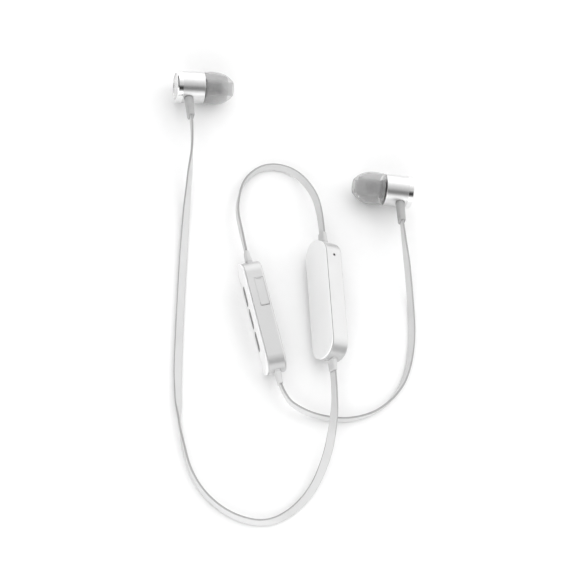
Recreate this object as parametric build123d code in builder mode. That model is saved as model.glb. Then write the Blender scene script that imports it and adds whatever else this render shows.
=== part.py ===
from build123d import *

import os
from math import cos, pi, radians, sin, tan

# Wireless in-ear earphones on a flat cable, lying on a table, in millimetres.
# Two earphones, a battery pod and a remote pod are strung on three stretches of flat cable:
# left earphone - left cord - battery pod - neck cord - remote pod - right cord - right earphone.
# +Z is up, the table is z = 0, and the origin is under the middle of the hard parts.

os.makedirs("parts", exist_ok=True)

# --- Driving dimensions: earphones -------------------------------------------------------------
# Lengths along an earphone are stations, counted from its outer end towards the ear.
AXIS_HEIGHT = 6.4
BARREL_R = 6.1
BARREL_WALL = 0.7
BARREL_END = 10.8
FRONT_WALL = 0.7
NECK_R = 3.6
RING_R = 6.3
RING_LENGTH = 2.1
RING_SPIGOT = 0.3
CAP_R = 5.2
CAP_RECESS = 0.25
CAP_THICKNESS = 0.8
NECK_END = 12.3
NOZZLE_R = 2.3
NOZZLE_BORE_R = 1.6
NOZZLE_END = 18.0
MESH_R = 1.9
MESH_SINK = 0.6
DRIVER_START = 7.0
DRIVER_END = 9.8
MAGNET_R = 3.2
MAGNET_LENGTH = 1.5
TIP_R = 6.4
TIP_BORE_R = NOZZLE_R + 0.08
TIP_STEM_R = 3.3
TIP_RIM = 11.5
TIP_STEM_START = 12.5
TIP_LENGTH = 11.0
TIP_SKIN = 0.6
LEFT_TIP_DRAW = 0.0
RIGHT_TIP_DRAW = 0.4
EAR_BOOT_STATION = 4.6
EAR_BOOT_R = 1.85
EAR_BOOT_LENGTH = 9.2
EAR_BOOT_LIFT = 13.0

# --- Driving dimensions: pods ------------------------------------------------------------------
POD_WALL = 1.0
POD_EDGE = 0.8
LID_CROWN = 0.65
LID_EDGE = 0.3
SEAM_GAP = 0.35
SEAM_DEPTH = 0.45
LID_STACK = LID_CROWN + LID_EDGE + SEAM_GAP
LIP_WALL = 0.7
LIP_DEPTH = 0.8
FIT_GAP = 0.1
BOARD_THICKNESS = 0.8
POD_BOOT_ROOT = (4.4, 2.5)
POD_BOOT_TIP = (3.8, 1.8)
POD_BOOT_SHIFT = -0.5

# --- Driving dimensions: remote controls -------------------------------------------------------
BUTTON_PITCH = 9.2
BUTTON_SIZE = (8.2, 3.3)
BUTTON_FLANGE = (8.9, 4.3)
BUTTON_CLEARANCE = 0.12
BUTTON_TRAVEL = 0.35
BUTTON_SINK = 0.15
BUTTON_FIRST = 9.3
BUTTON_SKIN = 0.6
FLANGE_THICKNESS = 0.3
COVER_LENGTH = 11.3
COVER_WIDTH = 3.2
COVER_THICKNESS = 0.9
COVER_MIDDLE = 8.4
COVER_SHIFT = -1.5
COVER_GAP = 0.12
PIN_R = 0.22
USB_MOUTH = (7.4, 2.3)

# --- Driving dimensions: cable -----------------------------------------------------------------
CORD_WIDTH = 3.2
CORD_THICKNESS = 0.9


def save(builder, name):
    """Label a finished piece and write it to its own STEP file."""
    builder.part.label = name
    export_step(builder.part, f"parts/{name}.step")


def horizontal(degrees):
    """A level unit vector, counted anticlockwise from +X."""
    return Vector(cos(radians(degrees)), sin(radians(degrees)), 0)


# --- Where each unit lies ----------------------------------------------------------------------
def earphone_seat(cap_x, cap_y, heading, exit_heading):
    """Outer end of an earphone: local Z runs to the ear, local X leans up along the cable boot."""
    lift = radians(EAR_BOOT_LIFT)
    boot = horizontal(exit_heading) * cos(lift) + Vector(0, 0, sin(lift))
    return Plane(origin=(cap_x, cap_y, AXIS_HEIGHT), x_dir=boot, z_dir=horizontal(heading))


LEFT_SEAT = earphone_seat(-45.9, 58.0, 1.5, -88.5)
RIGHT_SEAT = earphone_seat(45.5, 18.2, 176.5, -93.5)


class Pod:
    """A slim inline housing that lies on its narrow side.

    Local X is across the pod (upwards), local Y is along it, and local Z comes out of its face.
    """

    def __init__(self, name, centre, heading, lean, length, width, depth, boot_length):
        self.name = name
        self.length = length
        self.width = width
        self.depth = depth
        self.boot_length = boot_length
        self.band_depth = depth - LID_STACK
        self.front = depth / 2
        self.back = -depth / 2
        self.lid_floor = self.front - LID_STACK
        side = horizontal(heading - 90)
        up = Vector(0, 0, 1)
        across = side * cos(radians(lean)) + up * sin(radians(lean))
        face = up * cos(radians(lean)) - side * sin(radians(lean))
        half_across = (width / 2 - POD_EDGE) * sin(radians(lean))
        half_face = (self.depth / 2 - POD_EDGE) * abs(cos(radians(lean)))
        height = half_across + half_face + POD_EDGE
        self.seat = Plane(origin=(centre[0], centre[1], height), x_dir=across, z_dir=face)

    def at(self, x, y, z):
        """A point given in the pod's own coordinates."""
        return self.seat.from_local_coords(Vector(x, y, z))

    def end(self, way, station):
        """A plane square to the pod's length, looking out of its top (way 1) or bottom (way -1)."""
        origin = self.at(0, way * station, POD_BOOT_SHIFT)
        return Plane(origin=origin, x_dir=self.seat.x_dir, z_dir=self.seat.y_dir * way)

    def from_top(self, depth, y, z):
        """A plane lying depth under the pod's upper side, looking out, with its X along the pod."""
        origin = self.at(self.width / 2 - depth, y, z)
        return Plane(origin=origin, x_dir=self.seat.y_dir, z_dir=self.seat.x_dir)

    def cord_end(self, way):
        """Where the cable leaves the boot at this end."""
        return self.end(way, self.length / 2 + self.boot_length).origin


BATTERY = Pod("battery", (8.9, -30.2), 91.0, 69.0, 47.7, 13.0, 8.2, 4.4)
REMOTE = Pod("remote", (-15.9, -37.5), 101.4, 96.0, 44.5, 10.5, 8.1, 4.8)

MIC_Y = 16.6
MIC_Z = -0.5
MIC_HOLE_R = 0.5
MIC_MESH_R = 1.1
MIC_MESH_THICKNESS = 0.3
MIC_CAPSULE_R = 1.4
MIC_CAPSULE_LENGTH = 1.3


# --- Earphones ---------------------------------------------------------------------------------
def earphone(side, seat, tip_draw):
    """Make the pieces of one earphone around the axis of its seat."""
    axis = Axis(seat.origin, seat.z_dir)
    profile = Plane(origin=seat.origin, x_dir=seat.z_dir, z_dir=seat.y_dir)
    boot_root = Plane(
        origin=seat.from_local_coords(Vector(0, 0, EAR_BOOT_STATION)), x_dir=seat.z_dir, z_dir=seat.x_dir
    )
    barrel_bore_r = BARREL_R - BARREL_WALL

    with BuildPart() as barrel:
        with BuildSketch(profile):
            with BuildLine():
                Polyline(
                    (RING_LENGTH, BARREL_R), (BARREL_END, BARREL_R), (BARREL_END, NECK_R),
                    (BARREL_END - FRONT_WALL, NECK_R), (BARREL_END - FRONT_WALL, barrel_bore_r),
                    (RING_LENGTH, barrel_bore_r), close=True,
                )
            make_face()
        revolve(axis=axis)
        rims = barrel.edges().filter_by(GeomType.CIRCLE)
        fillet(rims.group_by(SortBy.RADIUS)[-1].sort_by(axis)[-1], 0.2)
        with BuildSketch(boot_root):
            RectangleRounded(2 * EAR_BOOT_R, 2 * EAR_BOOT_R, EAR_BOOT_R - 0.01)
        extrude(amount=BARREL_R + 1, mode=Mode.SUBTRACT)
    save(barrel, f"{side}_barrel")

    with BuildPart() as ring:
        with BuildSketch(profile):
            with BuildLine():
                Polyline(
                    (0, CAP_R), (0, RING_R - 0.35), (0.35, RING_R), (RING_LENGTH, RING_R),
                    (RING_LENGTH, barrel_bore_r), (RING_LENGTH + RING_SPIGOT, barrel_bore_r),
                    (RING_LENGTH + RING_SPIGOT, CAP_R - 0.6), (CAP_RECESS + CAP_THICKNESS, CAP_R - 0.6),
                    (CAP_RECESS + CAP_THICKNESS, CAP_R), close=True,
                )
            make_face()
        revolve(axis=axis)
    save(ring, f"{side}_trim_ring")

    with BuildPart() as cap:
        with BuildSketch(seat.offset(CAP_RECESS)):
            Circle(CAP_R)
        extrude(amount=CAP_THICKNESS)
        fillet(cap.edges().sort_by(axis)[0], 0.25)
    save(cap, f"{side}_end_cap")

    with BuildPart() as front:
        with BuildSketch(profile):
            with BuildLine():
                Polyline(
                    (DRIVER_END, barrel_bore_r), (BARREL_END - FRONT_WALL, barrel_bore_r),
                    (BARREL_END - FRONT_WALL, NECK_R), (NECK_END - 0.3, NECK_R), (NECK_END, NECK_R - 0.3),
                    (NECK_END, NOZZLE_R), (NOZZLE_END - 0.2, NOZZLE_R), (NOZZLE_END, NOZZLE_R - 0.2),
                    (NOZZLE_END, MESH_R), (NOZZLE_END - MESH_SINK, MESH_R),
                    (NOZZLE_END - MESH_SINK, NOZZLE_BORE_R), (BARREL_END - FRONT_WALL, NOZZLE_BORE_R),
                    (DRIVER_END, barrel_bore_r - 0.8), close=True,
                )
            make_face()
        revolve(axis=axis)
    save(front, f"{side}_front_housing")

    with BuildPart() as mesh:
        with BuildSketch(seat.offset(NOZZLE_END - MESH_SINK)):
            Circle(MESH_R)
        extrude(amount=0.25)
    save(mesh, f"{side}_nozzle_mesh")

    magnet_start = DRIVER_START + 0.4
    with BuildPart() as basket:
        with BuildSketch(seat.offset(DRIVER_START)):
            Circle(barrel_bore_r)
        extrude(amount=DRIVER_END - DRIVER_START)
        with BuildSketch(seat.offset(magnet_start)):
            Circle(barrel_bore_r - 0.5)
        extrude(amount=DRIVER_END - magnet_start, mode=Mode.SUBTRACT)
    save(basket, f"{side}_driver_basket")

    with BuildPart() as magnet:
        with BuildSketch(seat.offset(magnet_start)):
            Circle(MAGNET_R)
        extrude(amount=MAGNET_LENGTH)
        fillet(magnet.edges().sort_by(axis)[-1], 0.2)
    save(magnet, f"{side}_driver_magnet")

    with BuildPart() as diaphragm:
        with BuildSketch(seat.offset(DRIVER_END - 0.65)):
            Circle(barrel_bore_r - 0.5)
        extrude(amount=0.2)
        with BuildSketch(seat.offset(DRIVER_END - 0.45)):
            Circle(2.6)
        extrude(amount=0.4)
        fillet(diaphragm.edges().sort_by(axis)[-1], 0.35)
    save(diaphragm, f"{side}_driver_diaphragm")

    rim = TIP_RIM + tip_draw
    stem = TIP_STEM_START + tip_draw
    tip_end = rim + TIP_LENGTH
    with BuildPart() as tip:
        with BuildSketch(profile):
            with BuildLine():
                skirt = Spline(
                    (rim, TIP_R - 0.25), (rim + 3.0, TIP_R), (tip_end - 4.6, TIP_R - 0.35),
                    (tip_end - 1.4, TIP_R - 2.3), (tip_end, TIP_STEM_R - 0.3),
                    tangents=[(1, 0.2), (0.1, -1)],
                )
                lining = Spline(
                    (rim, TIP_R - 0.25 - TIP_SKIN), (rim + 3.0, TIP_R - TIP_SKIN),
                    (tip_end - 4.8, TIP_R - 0.5 - TIP_SKIN), (tip_end - 2.4, TIP_STEM_R),
                )
                Line(skirt @ 0, lining @ 0)
                Line(lining @ 1, (stem, TIP_STEM_R))
                Line((stem, TIP_STEM_R), (stem, TIP_BORE_R))
                Line((stem, TIP_BORE_R), (tip_end, TIP_BORE_R))
                Line((tip_end, TIP_BORE_R), skirt @ 1)
            make_face()
        revolve(axis=axis)
    save(tip, f"{side}_ear_tip")

    with BuildPart() as boot:
        with BuildSketch(boot_root.offset(barrel_bore_r - 0.9)):
            Circle(EAR_BOOT_R + 0.25)
        extrude(amount=0.5)
        with BuildSketch(boot_root.offset(barrel_bore_r - 0.4)):
            RectangleRounded(2 * EAR_BOOT_R, 2 * EAR_BOOT_R, EAR_BOOT_R - 0.01)
        extrude(amount=BARREL_WALL + 1.2)
        with BuildSketch(boot_root.offset(BARREL_R + 0.8)):
            RectangleRounded(2 * EAR_BOOT_R, 2 * EAR_BOOT_R, EAR_BOOT_R - 0.01)
        with BuildSketch(boot_root.offset(BARREL_R + EAR_BOOT_LENGTH)):
            RectangleRounded(2.5, 3.8, 0.8)
        loft()
    save(boot, f"{side}_boot")


def ear_cord_end(seat):
    """Where the cable leaves an earphone's boot."""
    return seat.from_local_coords(Vector(BARREL_R + EAR_BOOT_LENGTH, 0, EAR_BOOT_STATION))


# --- Shells, boots and boards that both pods have ----------------------------------------------
def band_shell(pod, ports, pin=None):
    """The cup that wraps a pod's sides and back.

    Each port is cut into its upper side: (y, z, length, width, corner, from, to), the last two
    being depths under that side. pin is the hinge pin's place: (depth, y, low z, high z).
    """
    with BuildPart() as shell:
        with BuildSketch(pod.seat.offset(pod.back)):
            SlotOverall(pod.length, pod.width, rotation=90)
        extrude(amount=pod.band_depth)
        fillet(shell.edges().group_by(Axis(pod.seat.origin, pod.seat.z_dir))[0], POD_EDGE)
        fillet(shell.edges().group_by(Axis(pod.seat.origin, pod.seat.z_dir))[-1], 0.15)
        with BuildSketch(pod.seat.offset(pod.back + POD_WALL)):
            SlotOverall(pod.length - 2 * POD_WALL, pod.width - 2 * POD_WALL, rotation=90)
        extrude(amount=pod.depth, mode=Mode.SUBTRACT)
        for y, z, length, width, corner, top, bottom in ports:
            with BuildSketch(pod.from_top(bottom, y, z)):
                RectangleRounded(length, width, corner)
            extrude(amount=bottom - top, mode=Mode.SUBTRACT)
        for way in (1, -1):
            with BuildSketch(pod.end(way, pod.length / 2 - 2 * POD_WALL)):
                RectangleRounded(*POD_BOOT_ROOT, 0.9)
            extrude(amount=3 * POD_WALL, mode=Mode.SUBTRACT)
        if pin:
            depth, y, low, high = pin
            with BuildSketch(Plane(pod.at(pod.width / 2 - depth, y, low), pod.seat.x_dir, pod.seat.z_dir)):
                Circle(PIN_R)
            extrude(amount=high - low, mode=Mode.SUBTRACT)
    save(shell, f"{pod.name}_band_shell")


def face_shell(pod, windows):
    """The lid on a pod's face: a crowned plate over a shadow gap, with a lip inside the band.

    windows are the stations of the button openings along the pod.
    """
    crown_r = (pod.width / 2) ** 2 / (2 * LID_CROWN)
    plate_floor = pod.front - LID_CROWN - LID_EDGE
    lip_length = pod.length - 2 * (POD_WALL + FIT_GAP)
    lip_width = pod.width - 2 * (POD_WALL + FIT_GAP)
    with BuildPart() as lid:
        with BuildSketch(pod.seat.offset(plate_floor)):
            SlotOverall(pod.length, pod.width, rotation=90)
        extrude(amount=LID_CROWN + LID_EDGE)
        crown_axis = Plane(
            origin=pod.at(0, -pod.length, pod.front - crown_r), x_dir=pod.seat.x_dir, z_dir=pod.seat.y_dir
        )
        with BuildSketch(crown_axis):
            Circle(crown_r)
        extrude(amount=2 * pod.length, mode=Mode.INTERSECT)
        with BuildSketch(pod.seat.offset(pod.lid_floor)):
            SlotOverall(pod.length - 2 * SEAM_DEPTH, pod.width - 2 * SEAM_DEPTH, rotation=90)
        extrude(amount=SEAM_GAP)
        with BuildSketch(pod.seat.offset(pod.lid_floor - LIP_DEPTH)):
            SlotOverall(lip_length, lip_width, rotation=90)
            SlotOverall(
                lip_length - 2 * LIP_WALL, lip_width - 2 * LIP_WALL, rotation=90, mode=Mode.SUBTRACT
            )
        extrude(amount=LIP_DEPTH)
        for y in windows:
            with BuildSketch(Plane(pod.at(0, y, pod.lid_floor - 0.1), pod.seat.y_dir, pod.seat.z_dir)):
                SlotOverall(BUTTON_SIZE[0] + 2 * BUTTON_CLEARANCE, BUTTON_SIZE[1] + 2 * BUTTON_CLEARANCE)
            extrude(amount=LID_STACK + 1, mode=Mode.SUBTRACT)
            with BuildSketch(Plane(pod.at(0, y, pod.lid_floor - 0.1), pod.seat.y_dir, pod.seat.z_dir)):
                SlotOverall(BUTTON_FLANGE[0] + 0.15, BUTTON_FLANGE[1] + 0.3)
            extrude(amount=LID_STACK - BUTTON_SKIN + 0.1, mode=Mode.SUBTRACT)
    save(lid, f"{pod.name}_face_shell")


def pod_boots(pod):
    """The tapered cable boots at a pod's two ends, each held by a flange inside the band."""
    for way, place in ((1, "top"), (-1, "bottom")):
        flange_station = pod.length / 2 - POD_WALL - 1.9
        taper_station = pod.length / 2 + 0.3
        with BuildPart() as boot:
            with BuildSketch(pod.end(way, flange_station)):
                RectangleRounded(POD_BOOT_ROOT[0] + 0.8, POD_BOOT_ROOT[1] + 0.8, 1.0)
            extrude(amount=0.8)
            with BuildSketch(pod.end(way, flange_station + 0.8)):
                RectangleRounded(*POD_BOOT_ROOT, 0.9)
            extrude(amount=taper_station - flange_station - 0.8)
            with BuildSketch(pod.end(way, taper_station)):
                RectangleRounded(*POD_BOOT_ROOT, 0.9)
            with BuildSketch(pod.end(way, pod.length / 2 + pod.boot_length)):
                RectangleRounded(*POD_BOOT_TIP, 0.8)
            loft()
        save(boot, f"{pod.name}_{place}_boot")


def circuit_board(pod, floor, length, width, middle):
    """A circuit board parallel to the pod's face."""
    with BuildPart() as board:
        with BuildSketch(Plane(pod.at(0, middle, floor), pod.seat.y_dir, pod.seat.z_dir)):
            RectangleRounded(length, width, 1.5)
            with Locations((length / 2 - 1.6, 0), (1.6 - length / 2, 0)):
                Circle(0.5, mode=Mode.SUBTRACT)
        extrude(amount=BOARD_THICKNESS)
    save(board, f"{pod.name}_board")


# --- Battery pod -------------------------------------------------------------------------------
def battery_pod(pod):
    """A rechargeable cell, its board and the microphone."""
    mic_port = (MIC_Y, MIC_Z, 2 * MIC_HOLE_R, 2 * MIC_HOLE_R, MIC_HOLE_R - 0.01, -1, POD_WALL + 1)
    mesh_port = (MIC_Y, MIC_Z, 2 * MIC_MESH_R, 2 * MIC_MESH_R, MIC_MESH_R - 0.01,
                 POD_WALL - MIC_MESH_THICKNESS, POD_WALL + 0.5)
    pocket_r = MIC_CAPSULE_R + FIT_GAP
    capsule_port = (MIC_Y, MIC_Z, 2 * pocket_r, 2 * pocket_r, pocket_r - 0.01, POD_WALL, 2 * POD_WALL + 1)
    band_shell(pod, [mic_port, mesh_port, capsule_port])
    face_shell(pod, [])
    pod_boots(pod)
    board_floor = 1.2
    circuit_board(pod, board_floor, 40.0, 8.6, 0.0)

    cell_floor = pod.back + POD_WALL + 0.1
    with BuildPart() as cell:
        with BuildSketch(Plane(pod.at(0, -2.8, cell_floor), pod.seat.y_dir, pod.seat.z_dir)):
            RectangleRounded(33.0, 9.4, 1.2)
        extrude(amount=board_floor - 0.1 - cell_floor)
        fillet(cell.edges().filter_by(Axis(pod.seat.origin, pod.seat.y_dir)), 1.2)
    save(cell, "battery_cell")

    with BuildPart() as mesh:
        with BuildSketch(pod.from_top(POD_WALL, MIC_Y, MIC_Z)):
            RectangleRounded(2 * MIC_MESH_R, 2 * MIC_MESH_R, MIC_MESH_R - 0.01)
        extrude(amount=MIC_MESH_THICKNESS)
    save(mesh, "microphone_mesh")

    with BuildPart() as capsule:
        with BuildSketch(pod.from_top(POD_WALL + MIC_CAPSULE_LENGTH, MIC_Y, MIC_Z)):
            Circle(MIC_CAPSULE_R)
        extrude(amount=MIC_CAPSULE_LENGTH)
        fillet(capsule.edges().sort_by(Axis(pod.seat.origin, pod.seat.x_dir))[0], 0.2)
    save(capsule, "microphone_capsule")


# --- Remote pod --------------------------------------------------------------------------------
def remote_pod(pod):
    """Three buttons on the face, and a charging socket under a hinged cover on the upper side."""
    stations = {
        "volume_up_button": BUTTON_FIRST,
        "play_button": BUTTON_FIRST - BUTTON_PITCH,
        "volume_down_button": BUTTON_FIRST - 2 * BUTTON_PITCH,
    }
    cover_low = COVER_SHIFT - COVER_WIDTH / 2
    cover_high = COVER_SHIFT + COVER_WIDTH / 2
    pin_depth = COVER_THICKNESS / 2
    pin_y = COVER_MIDDLE - COVER_LENGTH / 2 + pin_depth
    socket_y = COVER_MIDDLE + 0.8
    recess = (COVER_MIDDLE, COVER_SHIFT, COVER_LENGTH + 2 * COVER_GAP, COVER_WIDTH + 2 * COVER_GAP, 0.3,
              -1, COVER_THICKNESS + COVER_GAP)
    mouth = (socket_y, COVER_SHIFT, USB_MOUTH[0], USB_MOUTH[1], 0.6, -1, 2 * POD_WALL + 1)
    band_shell(pod, [recess, mouth], pin=(pin_depth, pin_y, cover_low - 0.55, cover_high + 0.75))
    face_shell(pod, stations.values())
    pod_boots(pod)

    with BuildPart() as pin:
        with BuildSketch(Plane(pod.at(pod.width / 2 - pin_depth, pin_y, cover_low - 0.5), pod.seat.x_dir,
                               pod.seat.z_dir)):
            Circle(PIN_R)
        extrude(amount=COVER_WIDTH + 1.2)
    save(pin, "usb_cover_pin")

    # The cover's profile, seen along its pin: a thin plate with a round knuckle and a lifting lip.
    knuckle = pin_depth - 0.02
    cover_end = COVER_MIDDLE + COVER_LENGTH / 2
    profile = Plane(pod.at(pod.width / 2, 0, cover_low), pod.seat.x_dir, pod.seat.z_dir)
    with BuildPart() as cover:
        with BuildSketch(profile):
            with Locations((-pin_depth, pin_y)):
                Circle(knuckle)
            with Locations((-COVER_THICKNESS + 0.02, pin_y)):
                Rectangle(COVER_THICKNESS - 0.04, cover_end - pin_y, align=(Align.MIN, Align.MIN))
        extrude(amount=COVER_WIDTH)
        with BuildSketch(profile):
            with Locations((-pin_depth, pin_y)):
                Circle(PIN_R + 0.05)
        extrude(amount=COVER_WIDTH, mode=Mode.SUBTRACT)
        with BuildSketch(pod.from_top(0.45, cover_end, COVER_SHIFT)):
            Rectangle(1.2, 2.0)
        extrude(amount=1, mode=Mode.SUBTRACT)
    save(cover, "usb_cover")

    board_floor = 0.45
    socket_floor = pod.width / 2 - 2 * POD_WALL - 4.2
    with BuildPart() as socket:
        with BuildSketch(pod.from_top(pod.width / 2 - socket_floor, socket_y, COVER_SHIFT)):
            RectangleRounded(USB_MOUTH[0] + 0.1, 2.45, 0.5)
        extrude(amount=5.0)
        with BuildSketch(pod.from_top(pod.width / 2 - socket_floor - 0.5, socket_y, COVER_SHIFT)):
            RectangleRounded(USB_MOUTH[0] - 0.5, 1.85, 0.4)
        extrude(amount=5.0, mode=Mode.SUBTRACT)
        with BuildSketch(pod.from_top(pod.width / 2 - socket_floor - 0.4, socket_y, COVER_SHIFT + 0.3)):
            Rectangle(3.6, 0.6)
        extrude(amount=3.4)
    save(socket, "usb_socket")

    circuit_board(pod, board_floor, 38.0, 7.6, 0.0)
    board_top = board_floor + BOARD_THICKNESS
    switch_top = board_top + 0.55
    with BuildPart() as switches:
        for y in stations.values():
            with BuildSketch(Plane(pod.at(0, y, board_top), pod.seat.y_dir, pod.seat.z_dir)):
                RectangleRounded(3.6, 3.0, 0.3)
            extrude(amount=0.4)
            with BuildSketch(Plane(pod.at(0, y, board_top + 0.4), pod.seat.y_dir, pod.seat.z_dir)):
                Circle(0.9)
            extrude(amount=0.15)
    save(switches, "tact_switches")

    membrane_thickness = pod.lid_floor - 0.1 - switch_top
    with BuildPart() as membrane:
        with BuildSketch(Plane(pod.at(0, stations["play_button"], switch_top), pod.seat.y_dir,
                               pod.seat.z_dir)):
            RectangleRounded(2 * BUTTON_PITCH + 8.0, 5.6, 1.5)
        extrude(amount=membrane_thickness)
    save(membrane, "button_membrane")

    flange_floor = pod.lid_floor + BUTTON_TRAVEL
    for name, y in stations.items():
        with BuildPart() as button:
            with BuildSketch(Plane(pod.at(0, y, flange_floor), pod.seat.y_dir, pod.seat.z_dir)):
                SlotOverall(*BUTTON_FLANGE)
            extrude(amount=FLANGE_THICKNESS)
            with BuildSketch(Plane(pod.at(0, y, flange_floor), pod.seat.y_dir, pod.seat.z_dir)):
                SlotOverall(*BUTTON_SIZE)
            extrude(amount=pod.front - BUTTON_SINK - flange_floor)
            fillet(button.edges().group_by(Axis(pod.seat.origin, pod.seat.z_dir))[-1], 0.25)
        save(button, name)


# --- Cables ------------------------------------------------------------------------------------
# Each route is a list of points chosen by hand. The cable stands on its edge, so its centre runs
# half its width above the table, and it rises to the boots and over the other cable.
LEVEL = 1.65

LEFT_ROUTE = [
    (-40.6, 35.4, 11.0), (-41.1, 22.4, 5.8), (-42.4, 5.8, LEVEL), (-44.4, -17.2, LEVEL),
    (-46.2, -40.2, LEVEL), (-47.7, -62.2, LEVEL), (-47.4, -83.2, LEVEL), (-43.0, -102.2, LEVEL),
    (-30.5, -114.2, LEVEL), (-15.0, -117.2, LEVEL), (-1.0, -106.7, LEVEL), (6.0, -92.7, 4.2),
    (8.6, -79.7, 7.8), (9.9, -68.2, 7.8),
]
NECK_ROUTE = [
    (8.7, 6.3, 7.0), (7.3, 17.8, 3.6), (0.5, 27.3, LEVEL), (-10.5, 28.8, LEVEL),
    (-19.6, 21.8, 2.0), (-23.4, 8.8, 3.8), (-22.4, -1.9, 5.5),
]
RIGHT_ROUTE = [
    (-8.2, -69.2, 5.0), (-3.4, -72.4, 3.4), (4.2, -74.8, 1.9), (16.5, -75.9, LEVEL),
    (29.5, -71.0, LEVEL), (39.3, -59.2, LEVEL), (43.6, -42.2, LEVEL), (44.0, -25.2, LEVEL),
    (42.2, -12.6, 6.2), (39.9, -3.6, 11.0),
]


def cord(name, start, route, end):
    """Sweep the flat cable along straight runs joined by arcs as large as the runs allow."""
    points = [start] + [Vector(*point) for point in route] + [end]
    runs = [after - before for before, after in zip(points, points[1:])]
    radii = []
    for before, after in zip(runs, runs[1:]):
        half_turn = radians(before.get_angle(after)) / 2
        radii.append(0.45 * min(before.length, after.length) / tan(half_turn))
    with BuildPart() as cable:
        with BuildLine() as path:
            FilletPolyline(*points, radius=radii)
        with BuildSketch(Plane(origin=points[0], x_dir=(0, 0, 1), z_dir=runs[0])):
            RectangleRounded(CORD_WIDTH, CORD_THICKNESS, 0.3)
        sweep(path=path.wires()[0])
    save(cable, name)
    length = path.wires()[0].length
    section = CORD_WIDTH * CORD_THICKNESS - (4 - pi) * 0.3**2
    print(f"{name}: {length:.1f} long, radii {[round(radius, 1) for radius in radii]}")
    print(f"  volume {cable.part.volume:.1f}, section times length {section * length:.1f}")


earphone("left", LEFT_SEAT, LEFT_TIP_DRAW)
earphone("right", RIGHT_SEAT, RIGHT_TIP_DRAW)
battery_pod(BATTERY)
remote_pod(REMOTE)
cord("left_cord", ear_cord_end(LEFT_SEAT), LEFT_ROUTE, BATTERY.cord_end(-1))
cord("neck_cord", BATTERY.cord_end(1), NECK_ROUTE, REMOTE.cord_end(1))
cord("right_cord", REMOTE.cord_end(-1), RIGHT_ROUTE, ear_cord_end(RIGHT_SEAT))
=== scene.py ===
from math import cos, pi, radians, sin

import bpy
from mathutils import Matrix, Vector


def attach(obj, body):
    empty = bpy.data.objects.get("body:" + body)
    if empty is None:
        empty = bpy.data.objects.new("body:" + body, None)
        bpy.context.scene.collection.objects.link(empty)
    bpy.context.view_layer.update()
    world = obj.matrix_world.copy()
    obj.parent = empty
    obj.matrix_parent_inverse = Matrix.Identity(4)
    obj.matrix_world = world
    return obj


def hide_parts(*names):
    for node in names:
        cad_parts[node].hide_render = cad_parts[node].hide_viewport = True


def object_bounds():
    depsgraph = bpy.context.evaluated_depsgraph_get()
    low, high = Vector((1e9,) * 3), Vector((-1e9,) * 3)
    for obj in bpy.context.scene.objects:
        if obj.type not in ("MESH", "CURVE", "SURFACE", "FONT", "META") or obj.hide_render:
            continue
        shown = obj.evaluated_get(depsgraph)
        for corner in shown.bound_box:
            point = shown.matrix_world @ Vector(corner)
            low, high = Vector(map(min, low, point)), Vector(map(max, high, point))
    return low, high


# Wireless in-ear earphones on a flat cable, lying on a pale table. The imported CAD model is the
# fixed frame: its hard parts stay and get their finishes here. The cables, ear tips and cable boots
# are replaced with detailed meshes in the same places, and the charging cover gets a soft seal.

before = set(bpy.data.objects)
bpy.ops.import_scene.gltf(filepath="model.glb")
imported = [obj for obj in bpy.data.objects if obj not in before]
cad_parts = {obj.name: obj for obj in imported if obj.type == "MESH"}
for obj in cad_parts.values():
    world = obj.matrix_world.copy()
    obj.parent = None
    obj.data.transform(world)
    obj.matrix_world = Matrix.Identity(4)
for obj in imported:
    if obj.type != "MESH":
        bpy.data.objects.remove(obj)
CAD_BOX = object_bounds()
MM = 0.001
UP = Vector((0, 0, 1))


def direction(azimuth, elevation=0.0):
    """A unit vector in degrees: azimuth anticlockwise from +X, and elevation up from the table."""
    level = cos(radians(elevation))
    return Vector((cos(radians(azimuth)) * level, sin(radians(azimuth)) * level, sin(radians(elevation))))


def seat(origin, x_dir, z_dir):
    """A local frame in millimetres, as a matrix into the row frame in metres."""
    turn = Matrix((x_dir, z_dir.cross(x_dir), z_dir)).transposed()
    return Matrix.Translation(Vector(origin) * MM) @ turn.to_4x4() @ Matrix.Scale(MM, 4)


# --- Where the units lie, as in the CAD model --------------------------------------------------
AXIS_HEIGHT = 6.4
BARREL_R = 6.1
EAR_BOOT_STATION = 4.6
EAR_BOOT_LIFT = 13.0
EAR_BOOT_LENGTH = 9.2
TIP_RIM = 11.5
TIP_DRAW = {"left": 0.0, "right": 0.4}
# A pod's length, width and depth, and the rounding of its long edges.
BATTERY_SIZE = (47.7, 13.0, 8.2)
REMOTE_SIZE = (44.5, 10.5, 8.1)
POD_EDGE = 0.8


def earphone_seat(cap, heading, exit_heading):
    """Local Z runs from the outer end to the ear, and local X leans up along the cable boot."""
    return seat((*cap, AXIS_HEIGHT), direction(exit_heading, EAR_BOOT_LIFT), direction(heading))


def pod_seat(centre, size, heading, lean):
    """Local X is across the pod (upwards), local Y is along it, and local Z comes out of its face."""
    _, width, depth = size
    rise = (width / 2 - POD_EDGE) * sin(radians(lean)) + (depth / 2 - POD_EDGE) * abs(cos(radians(lean)))
    across = direction(heading - 90, lean)
    face = direction(heading - 90, lean + 90)
    return seat((*centre, rise + POD_EDGE), across, face)


EARS = {
    "left": earphone_seat((-45.9, 58.0), heading=1.5, exit_heading=-88.5),
    "right": earphone_seat((45.5, 18.2), heading=176.5, exit_heading=-93.5),
}
BATTERY = pod_seat((8.9, -30.2), BATTERY_SIZE, heading=91.0, lean=69.0)
REMOTE = pod_seat((-15.9, -37.5), REMOTE_SIZE, heading=101.4, lean=96.0)

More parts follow.
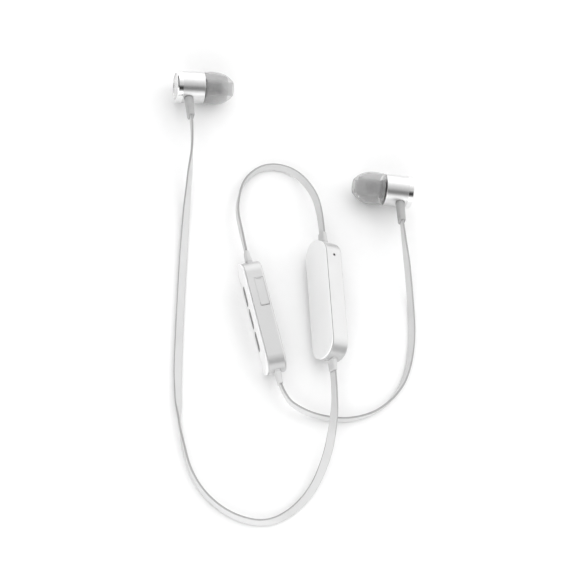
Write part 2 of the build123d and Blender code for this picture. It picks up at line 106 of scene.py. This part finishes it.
# --- Camera ------------------------------------------------------------------------------------
CAMERA_TARGET = Vector((-0.002, -0.0242, 0))
CAMERA_DISTANCE = 0.829245
CAMERA_AZIMUTH = -119
CAMERA_ELEVATION = 62
CAMERA_ROLL = 29
CAMERA_LENS = 135
CAMERA_SENSOR = 36
CAMERA_REACH = 20


def place_camera():
    """Aim at the target from the azimuth and elevation, then roll the picture about the line of sight."""
    camera = bpy.data.objects.new("camera", bpy.data.cameras.new("camera"))
    camera.data.lens = CAMERA_LENS
    camera.data.sensor_width = CAMERA_SENSOR
    camera.data.clip_end = CAMERA_REACH
    back = direction(CAMERA_AZIMUTH, CAMERA_ELEVATION)
    level = UP.cross(back).normalized()
    right = level * cos(radians(CAMERA_ROLL)) + back.cross(level) * sin(radians(CAMERA_ROLL))
    turn = Matrix((right, back.cross(right), back)).transposed().to_4x4()
    camera.matrix_world = Matrix.Translation(CAMERA_TARGET + back * CAMERA_DISTANCE) @ turn
    bpy.context.scene.collection.objects.link(camera)
    bpy.context.scene.camera = camera


place_camera()

# --- Materials ---------------------------------------------------------------------------------
# A Mix node's colour sockets share their names with its other sockets, so they go by number.
MIX_FIRST, MIX_SECOND, MIX_RESULT = 6, 7, 2


def new_material(name, **sockets):
    """A material with constants on its shader's own sockets, with its node tree and its shader."""
    made = bpy.data.materials.new(name)
    made.use_nodes = True
    shader = made.node_tree.nodes["Principled BSDF"]
    for socket, value in sockets.items():
        shader.inputs[socket.replace("_", " ")].default_value = value
    return made, made.node_tree, shader


def add(tree, kind, settings=None, **inputs):
    """A node of that kind; an input is a value or another node's output socket."""
    node = tree.nodes.new(kind)
    for key, value in (settings or {}).items():
        setattr(node, key, value)
    for key, value in inputs.items():
        socket = node.inputs[key.replace("_", " ")]
        if isinstance(value, bpy.types.NodeSocket):
            tree.links.new(value, socket)
        else:
            socket.default_value = value
    return node


def dress(tree, shader, colour, roughness=None, normal=None):
    """Link what varies over the surface to the shader."""
    for socket, source in (("Base Color", colour), ("Roughness", roughness), ("Normal", normal)):
        if source is not None:
            tree.links.new(source, shader.inputs[socket])


def local_mm(tree, rotation=(0, 0, 0), stretch=(1, 1, 1)):
    """Coordinates in millimetres that stay on the piece, turned and stretched."""
    coords = add(tree, "ShaderNodeTexCoord")
    mapping = add(tree, "ShaderNodeMapping", {"vector_type": "TEXTURE"}, Vector=coords.outputs["Object"],
                  Rotation=rotation, Scale=tuple(MM / s for s in stretch))
    return mapping.outputs["Vector"]


def noise(tree, where, scale, detail=3.0, roughness=0.5):
    return add(tree, "ShaderNodeTexNoise", None, Vector=where, Scale=scale, Detail=detail,
               Roughness=roughness).outputs["Fac"]


def remap(tree, value, low=0.0, high=1.0, start=0.3, end=0.7):
    """Low where the value is at start, high where it is at end, and held there beyond them."""
    return add(tree, "ShaderNodeMapRange", None, Value=value, From_Min=start, From_Max=end,
               To_Min=low, To_Max=high).outputs["Result"]


def drift(tree, where, scale, detail=2.0):
    """A slow change between 0 and 1 over the surface."""
    return remap(tree, noise(tree, where, scale, detail))


def blend_colour(tree, factor, first, second):
    """The first colour where the factor is 0, and the second where it is 1; each a tuple or a socket."""
    node = add(tree, "ShaderNodeMix", {"data_type": "RGBA"})
    tree.links.new(factor, node.inputs[0])
    for index, colour in ((MIX_FIRST, first), (MIX_SECOND, second)):
        if isinstance(colour, bpy.types.NodeSocket):
            tree.links.new(colour, node.inputs[index])
        else:
            node.inputs[index].default_value = (*colour, 1)
    return node.outputs[MIX_RESULT]


def bump(tree, height, depth):
    """A surface normal from relief that is depth millimetres high."""
    node = add(tree, "ShaderNodeBump", None, Strength=1.0, Distance=depth * MM, Height=height)
    return node.outputs["Normal"]


def shade(grey):
    return (grey, grey, grey)


def moulded(name, colour, roughness, grain=9.0, depth=0.002):
    """Moulded plastic or rubber: fine grain in the surface, and faint drifts of tone and gloss."""
    tone_spread, gloss_spread = 0.05, 0.06
    made, tree, shader = new_material(name)
    where = local_mm(tree)
    low = tuple(c * (1 - tone_spread) for c in colour)
    high = tuple(min(1.0, c * (1 + tone_spread)) for c in colour)
    tone = blend_colour(tree, drift(tree, where, scale=0.12), low, high)
    smudge = noise(tree, where, scale=0.6, detail=4.0, roughness=0.65)
    gloss = remap(tree, smudge, roughness - gloss_spread, roughness + gloss_spread)
    fine = noise(tree, where, grain, detail=2.0, roughness=0.6)
    dress(tree, shader, tone, gloss, bump(tree, fine, depth))
    return made


def metal(name, colour, roughness, rotation=(0, 0, 0), stretch=(0.4, 0.4, 14.0), depth=0.004, vary=0.05):
    """Worked metal: tool marks drawn out square to the local Z of rotation."""
    dullness = 0.93
    made, tree, shader = new_material(name, Metallic=1.0)
    lines = noise(tree, local_mm(tree, rotation, stretch), scale=1.0, detail=3.0, roughness=0.6)
    spots = remap(tree, noise(tree, local_mm(tree), scale=0.5, detail=4.0, roughness=0.6))
    tone = blend_colour(tree, spots, tuple(c * dullness for c in colour), colour)
    gloss = remap(tree, lines, roughness - vary, roughness + vary)
    dress(tree, shader, tone, gloss, bump(tree, lines, depth))
    return made


def painted(name, low, high, roughness, **sockets):
    """Satin lacquer over moulded plastic: a slow drift of tone and handling smudges."""
    made, tree, shader = new_material(name, **sockets)
    where = local_mm(tree)
    tone = blend_colour(tree, drift(tree, where, scale=0.06), shade(low), shade(high))
    smudge = noise(tree, where, scale=0.35, detail=5.0, roughness=0.65)
    dress(tree, shader, tone, remap(tree, smudge, roughness - 0.05, roughness + 0.06))
    return made


def wear(node, made):
    """Give a CAD node its material in every slot."""
    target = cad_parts[node]
    if not target.data.materials:
        target.data.materials.append(made)
    for index in range(len(target.material_slots)):
        target.material_slots[index].material = made


# --- Mesh makers -------------------------------------------------------------------------------
def new_piece(name, points, faces, made, body, subdivide=0):
    """A smooth mesh piece that rides on a body and takes the given finish."""
    mesh = bpy.data.meshes.new(name)
    mesh.from_pydata(points, [], faces)
    mesh.validate()
    mesh.polygons.foreach_set("use_smooth", [True] * len(mesh.polygons))
    mesh.materials.append(made)
    piece = bpy.data.objects.new(name, mesh)
    bpy.context.scene.collection.objects.link(piece)
    if subdivide:
        modifier = piece.modifiers.new("smooth", "SUBSURF")
        modifier.levels = subdivide
        modifier.render_levels = subdivide
    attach(piece, body)
    return piece


def skin(rings, looped=False):
    """Points and faces through rings of equal counts: a filled tube, or looped from last to first."""
    count = len(rings[0])
    points = [tuple(p) for ring in rings for p in ring]
    faces = []
    for r in range(len(rings) if looped else len(rings) - 1):
        here = r * count
        there = (r + 1) % len(rings) * count
        for i in range(count):
            j = (i + 1) % count
            faces.append((here + i, here + j, there + j, there + i))
    if not looped:
        faces.append(tuple(reversed(range(count))))
        faces.append(tuple(range(len(points) - count, len(points))))
    return points, faces


def lathe(place, profile, segments):
    """A ring-shaped solid about local Z of place: profile is a closed list of (station, radius)."""
    rings = []
    for step in range(segments):
        angle = -2 * pi * step / segments
        rings.append([place @ Vector((r * cos(angle), r * sin(angle), z)) for z, r in profile])
    return skin(rings, looped=True)


def rounded(half_x, half_y, corner, count):
    """Points round a rectangle with round corners, evenly spread by angle."""
    found = []
    per_corner = count // 4
    for quarter, (sx, sy) in enumerate(((1, 1), (-1, 1), (-1, -1), (1, -1))):
        for step in range(per_corner):
            angle = radians(90 * quarter + 90 * step / (per_corner - 1))
            x = sx * (half_x - corner) + corner * cos(angle)
            y = sy * (half_y - corner) + corner * sin(angle)
            found.append((x, y))
    return found


# --- Cables ------------------------------------------------------------------------------------
CORD_WIDTH = 3.2
CORD_THICKNESS = 0.9
# The height of the ribbon's middle where it stands on its edge.
LEVEL = 1.65
# The painted shade along the rims begins at this share of the half width, and it is full a little farther
# out.
SHADE_RIM_START = 0.86
SHADE_RIM_BLEND = 0.1

LEFT_ROUTE = [
    (-40.91, 43.22, 9.84), (-40.6, 35.4, 11.0), (-41.1, 22.4, 5.8), (-42.4, 5.8, 1.3),
    (-44.4, -17.2, 0.95), (-46.2, -40.2, 0.95), (-47.7, -62.2, 1.1), (-47.4, -83.2, LEVEL),
    (-43.0, -102.2, LEVEL), (-30.5, -114.2, LEVEL), (-15.0, -117.2, 1.6), (-1.0, -106.7, 1.4),
    (6.0, -92.7, 4.2), (8.6, -79.7, 7.8), (9.9, -68.2, 7.8), (9.86, -58.44, 7.12),
]
NECK_ROUTE = [
    (8.87, -1.95, 7.12), (8.7, 6.3, 7.0), (7.3, 17.8, 3.6), (0.5, 27.3, LEVEL),
    (-10.5, 28.8, LEVEL), (-19.6, 21.8, 2.0), (-23.4, 8.8, 3.8), (-22.4, -1.9, 5.5),
    (-20.76, -10.89, 5.62),
]
RIGHT_ROUTE = [
    (-10.07, -63.92, 5.62), (-8.2, -69.2, 5.0), (-3.4, -72.4, 3.4), (4.2, -74.8, 1.9),
    (16.5, -75.9, LEVEL), (29.5, -71.0, LEVEL), (39.3, -59.2, LEVEL), (43.3, -42.2, LEVEL),
    (43.6, -25.2, LEVEL), (42.0, -12.6, 6.2), (39.9, -3.6, 11.0), (40.0, 3.6, 9.84),
]

# How far the ribbon leans to its left from standing on its edge: (share of the length, degrees).
LEFT_LEANS = [
    (0, 0), (0.05, -8), (0.1, -40), (0.16, -60), (0.24, -74), (0.42, -76), (0.46, -60), (0.5, -20),
    (0.545, 0), (0.64, 8), (0.7, 20), (0.76, 45), (0.82, 68), (0.87, 95), (0.92, 130), (0.96, 155),
    (1, 159),
]
NECK_LEANS = [(0, -21), (0.2, -28), (0.45, -24), (0.6, -14), (0.75, 0), (0.9, 2), (1, -6)]
RIGHT_LEANS = [
    (0, -6), (0.12, 8), (0.25, 6), (0.36, 0), (0.5, -22), (0.62, -30), (0.85, -24), (0.95, -8), (1, 0),
]


def cable_material():
    """Satin rubber with shade painted along the rims, so they are darker than the broad sides."""
    made, tree, shader = new_material("cable_rubber", Specular_IOR_Level=0.5)
    where = local_mm(tree)
    rim_shade_share = add(tree, "ShaderNodeAttribute", {"attribute_name": "edge"}).outputs["Fac"]
    slow = drift(tree, where, scale=0.08)
    side = blend_colour(tree, slow, shade(0.58), shade(0.62))
    # The rim tone is painted shade: the narrow edges are drawn darker than the broad sides.
    rim = blend_colour(tree, slow, shade(0.31), shade(0.35))
    tone = blend_colour(tree, rim_shade_share, side, rim)
    gloss = remap(tree, noise(tree, where, scale=0.5, detail=4.0), 0.36, 0.5)
    fine = noise(tree, where, scale=7.0, detail=2.0, roughness=0.6)
    dress(tree, shader, tone, gloss, bump(tree, fine, depth=0.004))
    return made


def route_points(name, route):
    """The points of the route's smooth line, read from a NURBS spline with no bevel."""
    curve = bpy.data.curves.new(name, "CURVE")
    curve.dimensions = "3D"
    curve.resolution_u = 20
    spline = curve.splines.new("NURBS")
    spline.points.add(len(route) - 1)
    for point, place in zip(spline.points, route):
        point.co = (*(c * MM for c in place), 1)
    spline.order_u = 3
    spline.use_endpoint_u = True
    line = bpy.data.objects.new(name, curve)
    bpy.context.scene.collection.objects.link(line)
    bpy.context.view_layer.update()
    mesh = bpy.data.meshes.new_from_object(line)
    found = [v.co.copy() for v in mesh.vertices]
    bpy.data.objects.remove(line)
    bpy.data.curves.remove(curve)
    bpy.data.meshes.remove(mesh)
    return found


def at_share(table, share):
    """A smooth reading of a given table of (share of the length, value)."""
    for (a, low), (b, high) in zip(table, table[1:]):
        if share <= b:
            t = (share - a) / (b - a)
            return low + (high - low) * t * t * (3 - 2 * t)
    return table[-1][1]


def ribbon_section():
    """The cable's section: across its width and thickness, with round edges and a shallow channel."""
    # A quarter of the outline, from the rim to the middle, in shares of the half width and thickness.
    shares = [
        (1.0, 0.0), (0.985, 0.42), (0.93, 0.78), (0.84, 0.97), (0.7, 1.0), (0.55, 0.93), (0.3, 0.9),
        (0.0, 0.9),
    ]
    quarter = [(w * CORD_WIDTH / 2, t * CORD_THICKNESS / 2) for w, t in shares]
    upper = quarter + [(-w, t) for w, t in reversed(quarter[:-1])]
    return upper + [(w, -t) for w, t in reversed(upper[1:-1])]


def ribbon(name, route, leans, made, node):
    """A flat cable that stands on its edge and leans to its left by its table."""
    line = route_points(name + "_route", route)
    section = ribbon_section()
    walked = [0.0]
    for before, after in zip(line, line[1:]):
        walked.append(walked[-1] + (after - before).length)
    rings = []
    for i, place in enumerate(line):
        along = (line[min(i + 1, len(line) - 1)] - line[max(i - 1, 0)]).normalized()
        left = UP.cross(along).normalized()
        upright = along.cross(left)
        lean = radians(at_share(leans, walked[i] / walked[-1]))
        wide = upright * cos(lean) + left * sin(lean)
        thin = wide.cross(along)
        rings.append([place + (wide * w + thin * t) * MM for w, t in section])
    points, faces = skin(rings)
    piece = new_piece(name, points, faces, made, "root")
    # The edge attribute marks the rims, where the cable material paints shade.
    edge = piece.data.attributes.new("edge", "FLOAT", "POINT")
    outness = [(abs(w) / (CORD_WIDTH / 2) - SHADE_RIM_START) / SHADE_RIM_BLEND for w, _ in section]
    edge.data.foreach_set("value", [min(1.0, max(0.0, share)) for share in outness] * len(line))
    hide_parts(node)
    tuple(line[0])
    [tuple(p) for p in line]


CABLE = cable_material()
ribbon("left_cable", LEFT_ROUTE, LEFT_LEANS, CABLE, "left_cord")
ribbon("neck_cable", NECK_ROUTE, NECK_LEANS, CABLE, "neck_cord")
ribbon("right_cable", RIGHT_ROUTE, RIGHT_LEANS, CABLE, "right_cord")

# --- Ear tips ----------------------------------------------------------------------------------
TIP_SEGMENTS = 72
# The tip's section, closed: (distance from the rim, radius). Skirt, nose, bore, stem and lining.
TIP_SECTION = [
    (-0.5, 5.86), (-0.5, 6.04), (-0.3, 6.16), (0.1, 6.14), (0.7, 6.2), (1.6, 6.32), (3.0, 6.38),
    (4.5, 6.32), (6.0, 6.05), (7.2, 5.66), (8.2, 5.2), (9.1, 4.62), (9.8, 4.02), (10.4, 3.42),
    (10.8, 3.02), (10.97, 2.8), (10.97, 2.6), (10.8, 2.42), (10.5, 2.4), (7.6, 2.4), (7.4, 2.46),
    (4.2, 2.46), (4.0, 2.4), (1.2, 2.4), (1.05, 2.5), (1.02, 3.1), (1.15, 3.28), (1.6, 3.32),
    (4.0, 3.32), (7.4, 3.34), (8.3, 3.5), (8.6, 3.85), (8.3, 4.4), (7.5, 4.95), (6.4, 5.38),
    (5.0, 5.62), (3.4, 5.74), (1.6, 5.72), (0.5, 5.62), (-0.2, 5.6), (-0.42, 5.7),
]


def tip_material():
    """Frosted, smoke-grey silicone that lets the stem inside show through."""
    made, tree, shader = new_material("smoke_silicone", IOR=1.05, Transmission_Weight=0.85,
                                      Coat_Weight=0.5, Coat_Roughness=0.25)
    where = local_mm(tree)
    tone = blend_colour(tree, drift(tree, where, scale=0.25, detail=3.0), shade(0.71), shade(0.75))
    dress(tree, shader, tone, remap(tree, noise(tree, where, scale=0.3, detail=2.0), 0.1, 0.16))
    return made


def ear_tip(side, made):
    start = TIP_RIM + TIP_DRAW[side]
    section = [(start + z, r) for z, r in TIP_SECTION]
    points, faces = lathe(EARS[side], section, TIP_SEGMENTS)
    piece = new_piece(f"{side}_silicone_tip", points, faces, made, f"{side}_ear_tip",
                      subdivide=1)
    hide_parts(f"{side}_ear_tip")


TIP_SILICONE = tip_material()
for side in EARS:
    ear_tip(side, TIP_SILICONE)

# --- Cable boots -------------------------------------------------------------------------------
# A boot's outline at its root and tip: (half X, half Y, corner radius).
EAR_BOOT_ROOT = (1.82, 1.82, 1.8)
EAR_BOOT_TIP = (1.25, 1.88, 0.8)
POD_BOOT_ROOT = (2.2, 1.25, 0.88)
POD_BOOT_TIP = (1.9, 0.9, 0.8)
BATTERY_BOOT_LENGTH = 4.4
REMOTE_BOOT_LENGTH = 4.8
# A boot's visible part begins this far below the housing's surface.
EAR_BOOT_SUNK = 0.05
POD_BOOT_SUNK = 0.02
# The flange inside the housing: where it starts (in a pod, from the pod's end inward), and how far
# it stands out round the root.
EAR_FLANGE_START = 4.55
EAR_FLANGE_OUT = 0.2
POD_FLANGE_INSET = 2.85
POD_FLANGE_OUT = 0.35
FLANGE_THICKNESS = 0.7
# The groove at the housing's surface: its depths, and how far it reaches to each side.
EAR_GROOVE = 0.22
POD_GROOVE = 0.1
GROOVE_REACH = 0.3
# Edges are rounded over about this much, and the taper is drawn in by the waist.
EDGE = 0.04
WAIST = 0.03
POD_BOOT_SHIFT = -0.5
BOOT_POINTS = 40


def boot_material(name, grey):
    made, tree, shader = new_material(name, Specular_IOR_Level=0.45)
    where = local_mm(tree)
    slow = drift(tree, where, scale=0.3, detail=3.0)
    tone = blend_colour(tree, slow, shade(grey - 0.02), shade(grey + 0.02))
    gloss = remap(tree, noise(tree, where, scale=1.2, detail=4.0), 0.38, 0.5)
    fine = noise(tree, where, scale=8.0, detail=2.0, roughness=0.6)
    dress(tree, shader, tone, gloss, bump(tree, fine, depth=0.003))
    return made


def boot_profile(root, tip, start, length, flange_start, flange_out, groove):
    """Stations of a boot: a hidden flange, a groove at the housing, a waisted taper, and a rounded end."""
    end = start + length
    # Rows of (distance, share of the way from root to tip, growth of the outline).
    rows = [
        (flange_start, 0, flange_out),
        (flange_start + 0.06, 0, flange_out + EDGE),
        (flange_start + FLANGE_THICKNESS - 0.1, 0, flange_out + EDGE),
        (flange_start + FLANGE_THICKNESS, 0, 0),
        (start - GROOVE_REACH - 0.1, 0, 0),
        (start - GROOVE_REACH, 0, -groove),
        (start + GROOVE_REACH, 0, -groove),
        (start + GROOVE_REACH + 0.06, 0, EDGE / 2),
        (start + GROOVE_REACH + 0.2, 0.01, EDGE),
    ]
    for share in (0.12, 0.25, 0.4, 0.55, 0.7, 0.8):
        rows.append((start + length * share, share ** 0.85, -WAIST * sin(pi * share)))
    rows += [
        (start + length * 0.9, 0.94, 0),
        (end - 0.3, 1, 0),
        (end - 0.08, 1, -0.05),
        (end, 1, -0.16),
        (end, 1, -0.3),
    ]
    return [(z, *(a + (b - a) * share + grow for a, b in zip(root, tip))) for z, share, grow in rows]


def boot_mesh(name, node, place, stations, made):
    """A moulded boot along local Z of place. stations: (distance, half X, half Y, corner radius)."""
    smallest_flat = 0.02
    rings = []
    for z, half_x, half_y, corner in stations:
        fitting = min(corner, half_x - smallest_flat, half_y - smallest_flat)
        rings.append([place @ Vector((x, y, z)) for x, y in rounded(half_x, half_y, fitting, BOOT_POINTS)])
    points, faces = skin(rings)
    piece = new_piece(name, points, faces, made, "root", subdivide=1)
    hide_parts(node)


EAR_BOOT_RUBBER = boot_material("ear_boot_rubber", 0.38)
POD_BOOT_RUBBER = boot_material("pod_boot_rubber", 0.58)
for side in EARS:
    station = Matrix.Translation((0, 0, EAR_BOOT_STATION))
    outward = EARS[side] @ station @ Matrix.Rotation(radians(90), 4, "Y")
    profile = boot_profile(EAR_BOOT_ROOT, EAR_BOOT_TIP, BARREL_R - EAR_BOOT_SUNK,
                           EAR_BOOT_LENGTH + EAR_BOOT_SUNK, EAR_FLANGE_START, EAR_FLANGE_OUT, EAR_GROOVE)
    boot_mesh(f"{side}_ear_boot", f"{side}_boot", outward, profile, EAR_BOOT_RUBBER)

PODS = {
    "battery": (BATTERY, BATTERY_SIZE[0] / 2, BATTERY_BOOT_LENGTH),
    "remote": (REMOTE, REMOTE_SIZE[0] / 2, REMOTE_BOOT_LENGTH),
}
for pod, (place, pod_end, boot_length) in PODS.items():
    profile = boot_profile(POD_BOOT_ROOT, POD_BOOT_TIP, pod_end - POD_BOOT_SUNK, boot_length + POD_BOOT_SUNK,
                           pod_end - POD_FLANGE_INSET, POD_FLANGE_OUT, POD_GROOVE)
    for end, turn in (("top", -90), ("bottom", 90)):
        shift = Matrix.Translation((0, 0, POD_BOOT_SHIFT))
        outward = place @ shift @ Matrix.Rotation(radians(turn), 4, "X")
        boot_mesh(f"{pod}_{end}_cable_boot", f"{pod}_{end}_boot", outward, profile, POD_BOOT_RUBBER)

# --- Seal round the charging cover -------------------------------------------------------------
COVER_LENGTH = 11.3
COVER_WIDTH = 3.2
COVER_MIDDLE = 8.4
COVER_SHIFT = -1.5
COVER_CORNER = 0.35
CORNER_CUT = 0.1
HINGE_CLEARANCE = 1.4
# The seal's section: (distance out from the cover's outline, depth below the pod's surface).
SEAL_SECTION = [(-0.1, 0.7), (0.1, 0.7), (0.1, 0.2), (0.06, 0.07), (-0.1, 0.05)]


def cover_seal(made):
    """A soft lip on three sides of the cover that fills its gap a little below the surface."""
    free_end = COVER_MIDDLE + COVER_LENGTH / 2
    hinge_end = COVER_MIDDLE - COVER_LENGTH / 2 + HINGE_CLEARANCE
    half = COVER_WIDTH / 2
    # Half of the path round the cover: (along, from its middle line, outward along, outward across).
    half_path = [
        (hinge_end, half, 0, 1),
        (free_end - COVER_CORNER, half, 0, 1),
        (free_end - CORNER_CUT, half - CORNER_CUT, 0.7, 0.7),
        (free_end, half - COVER_CORNER, 1, 0),
    ]
    surface = REMOTE_SIZE[1] / 2
    rings = []
    for way, path in ((-1, half_path), (1, reversed(half_path))):
        for y, z, out_y, out_z in path:
            ring = []
            for out, depth in SEAL_SECTION:
                across = COVER_SHIFT + way * (z + out_z * out)
                ring.append(REMOTE @ Vector((surface - depth, y + out_y * out, across)))
            rings.append(ring)
    points, faces = skin(rings)
    new_piece("usb_cover_seal", points, faces, made, "usb_cover")


SEAL_RUBBER = moulded("seal_rubber", shade(0.7), roughness=0.5)
cover_seal(SEAL_RUBBER)

# --- Finishes of the hard parts ----------------------------------------------------------------
WEAVE_CELL = 0.22


def woven(name, colour, hole_shade, rotation=(0, 0, 0)):
    """Fine woven steel: bright wires round square holes, painted near-black as painted shade of the space
    behind the mesh.
    """
    made, tree, shader = new_material(name, Metallic=1.0, Roughness=0.32)
    split = add(tree, "ShaderNodeSeparateXYZ", None, Vector=local_mm(tree, rotation))
    both = add(tree, "ShaderNodeMath", {"operation": "MINIMUM"})
    for index, axis in enumerate(("X", "Y")):
        turns = add(tree, "ShaderNodeMath", {"operation": "MULTIPLY"})
        tree.links.new(split.outputs[axis], turns.inputs[0])
        turns.inputs[1].default_value = 2 * pi / WEAVE_CELL
        wave = add(tree, "ShaderNodeMath", {"operation": "SINE"})
        tree.links.new(turns.outputs[0], wave.inputs[0])
        tree.links.new(wave.outputs[0], both.inputs[index])
    wires = remap(tree, both.outputs[0], low=1.0, high=0.0, start=0.0, end=0.35)
    # The holes take the painted shade colour, and the wires take the steel colour.
    dress(tree, shader, blend_colour(tree, wires, hole_shade, colour), normal=bump(tree, wires, depth=0.05))
    return made


def board_material():
    """Green solder mask over faint traces, with tinned pads."""
    made, tree, shader = new_material("circuit_board", Coat_Weight=0.4, Coat_Roughness=0.15)
    where = local_mm(tree)
    cells = add(tree, "ShaderNodeTexVoronoi", {"distance": "MANHATTAN", "feature": "F1"}, Vector=where,
                Scale=0.9).outputs["Distance"]
    pads = remap(tree, cells, low=1.0, high=0.0, start=0.1, end=0.16)
    waves = add(tree, "ShaderNodeTexWave", {"bands_direction": "DIAGONAL"}, Vector=where, Scale=0.8,
                Distortion=6.0, Detail=0.0).outputs["Fac"]
    traces = remap(tree, waves, start=0.45, end=0.5)
    mask = blend_colour(tree, traces, (0.012, 0.12, 0.055), (0.02, 0.19, 0.08))
    tone = blend_colour(tree, pads, mask, (0.72, 0.7, 0.64))
    dress(tree, shader, tone, remap(tree, noise(tree, where, scale=1.0), 0.32, 0.45),
          bump(tree, traces, depth=0.02))
    return made


FACE_PAINT = painted("pod_white", 0.8, 0.82, roughness=0.36)
BAND_PAINT = painted("pod_silver", 0.56, 0.59, roughness=0.34, Metallic=0.6, Coat_Weight=0.15,
                     Coat_Roughness=0.15)
CAP_WHITE = painted("white_gloss", 0.58, 0.61, roughness=0.16, Coat_Weight=0.6, Coat_Roughness=0.05)
BLACK_PLASTIC = moulded("black_plastic", shade(0.012), roughness=0.28)
BUTTON_GREY = moulded("button_grey", shade(0.13), roughness=0.42, grain=6.0, depth=0.004)
MEMBRANE = moulded("membrane_silicone", shade(0.5), roughness=0.5)
FILM = moulded("diaphragm_film", (0.5, 0.46, 0.36), roughness=0.2, grain=4.0, depth=0.01)
MESH_STEEL = woven("steel_mesh", shade(0.02), shade(0.005))
DRIVER_STEEL = metal("driver_steel", shade(0.58), roughness=0.28)
FOIL = metal("cell_foil", shade(0.72), roughness=0.26, stretch=(1.2, 3.0, 1.2), depth=0.02)
BOARD = board_material()

for side in EARS:
    facing = EARS[side].to_euler()
    turned = metal(f"satin_aluminium_{side}", shade(0.78), roughness=0.3, rotation=facing, vary=0.03,
                   depth=0.0015)
    polished = metal(f"polished_metal_{side}", shade(0.92), roughness=0.1, rotation=facing, vary=0.03,
                     depth=0.001)
    wear(f"{side}_barrel", turned)
    wear(f"{side}_trim_ring", polished)
    wear(f"{side}_end_cap", CAP_WHITE)
    wear(f"{side}_front_housing", BLACK_PLASTIC)
    wear(f"{side}_nozzle_mesh", woven(f"steel_mesh_{side}", shade(0.3), shade(0.02), rotation=facing))
    wear(f"{side}_driver_basket", DRIVER_STEEL)
    wear(f"{side}_driver_magnet", DRIVER_STEEL)
    wear(f"{side}_driver_diaphragm", FILM)
for pod in PODS:
    wear(f"{pod}_band_shell", BAND_PAINT)
    wear(f"{pod}_face_shell", FACE_PAINT)
    wear(f"{pod}_board", BOARD)
for button in ("volume_up", "play", "volume_down"):
    wear(f"{button}_button", BUTTON_GREY)
for node in ("microphone_capsule", "tact_switches", "usb_socket", "usb_cover_pin"):
    wear(node, DRIVER_STEEL)
wear("battery_cell", FOIL)
wear("microphone_mesh", MESH_STEEL)
wear("button_membrane", MEMBRANE)
wear("usb_cover", BAND_PAINT)

# --- Table -------------------------------------------------------------------------------------
TABLE_HALF = 6.0
TABLE_GAP = 0.00005


def lay_table():
    """A matt white sheet just below the lowest point of the CAD model."""
    corners = [(-TABLE_HALF, -TABLE_HALF, 0), (TABLE_HALF, -TABLE_HALF, 0),
               (TABLE_HALF, TABLE_HALF, 0), (-TABLE_HALF, TABLE_HALF, 0)]
    mesh = bpy.data.meshes.new("table")
    mesh.from_pydata(corners, [], [(0, 1, 2, 3)])
    paper, tree, shader = new_material("paper", Roughness=0.7, Specular_IOR_Level=0.2)
    slow = drift(tree, local_mm(tree), scale=0.3, detail=4.0)
    dress(tree, shader, blend_colour(tree, slow, shade(0.905), shade(0.915)))
    mesh.materials.append(paper)
    table = bpy.data.objects.new("table", mesh)
    table.location.z = CAD_BOX[0][2] - TABLE_GAP
    bpy.context.scene.collection.objects.link(table)


lay_table()

# --- Light -------------------------------------------------------------------------------------
LIGHT_AIM = Vector((0, -0.02, 0))
LIGHT_DISTANCE = 0.85
LIGHT_SIZE = 0.7
SURROUND_STRENGTH = 1.7
# What the glossy parts mirror in the white surround: a direction, the angles off it in degrees at
# which the patch starts and is full, and its tone.
STUDIO_PATCHES = {
    "ceiling": ((0.04, -0.35, 0.94), 62, 14, 0.38),
    "upper flag": ((0.05, -0.62, 0.785), 25, 9, 0.02),
    "right flag": ((0.75, -0.62, 0.22), 31, 16, 0.12),
    "left flag": ((-0.92, 0.29, 0.26), 33, 25, 0.03),
}


def area_light(name, azimuth, elevation, power):
    """A square soft light on the table's middle that the glossy parts don't mirror."""
    light = bpy.data.lights.new(name, "AREA")
    light.shape = "SQUARE"
    light.size = LIGHT_SIZE
    light.energy = power
    away = direction(azimuth, elevation)
    made = bpy.data.objects.new(name, light)
    made.location = LIGHT_AIM + away * LIGHT_DISTANCE
    made.rotation_euler = (-away).to_track_quat("-Z", "Y").to_euler()
    made.visible_glossy = False
    bpy.context.scene.collection.objects.link(made)


def studio():
    """A white surround with its patches, the same from every camera."""
    world = bpy.data.worlds.new("studio")
    world.use_nodes = True
    bpy.context.scene.world = world
    sky = world.node_tree
    outward = add(sky, "ShaderNodeTexCoord").outputs["Generated"]
    surround = shade(1.0)
    for aim, outer, inner, tone in STUDIO_PATCHES.values():
        toward = add(sky, "ShaderNodeVectorMath", {"operation": "DOT_PRODUCT"})
        sky.links.new(outward, toward.inputs[0])
        toward.inputs[1].default_value = aim
        share = remap(sky, toward.outputs["Value"], start=cos(radians(outer)), end=cos(radians(inner)))
        surround = blend_colour(sky, share, surround, shade(tone))
    background = sky.nodes["Background"]
    sky.links.new(surround, background.inputs["Color"])
    background.inputs["Strength"].default_value = SURROUND_STRENGTH


area_light("key", azimuth=3, elevation=62, power=0.8)
area_light("fill", azimuth=-105, elevation=20, power=3.2)
studio()
bpy.context.scene.view_settings.view_transform = "Standard"
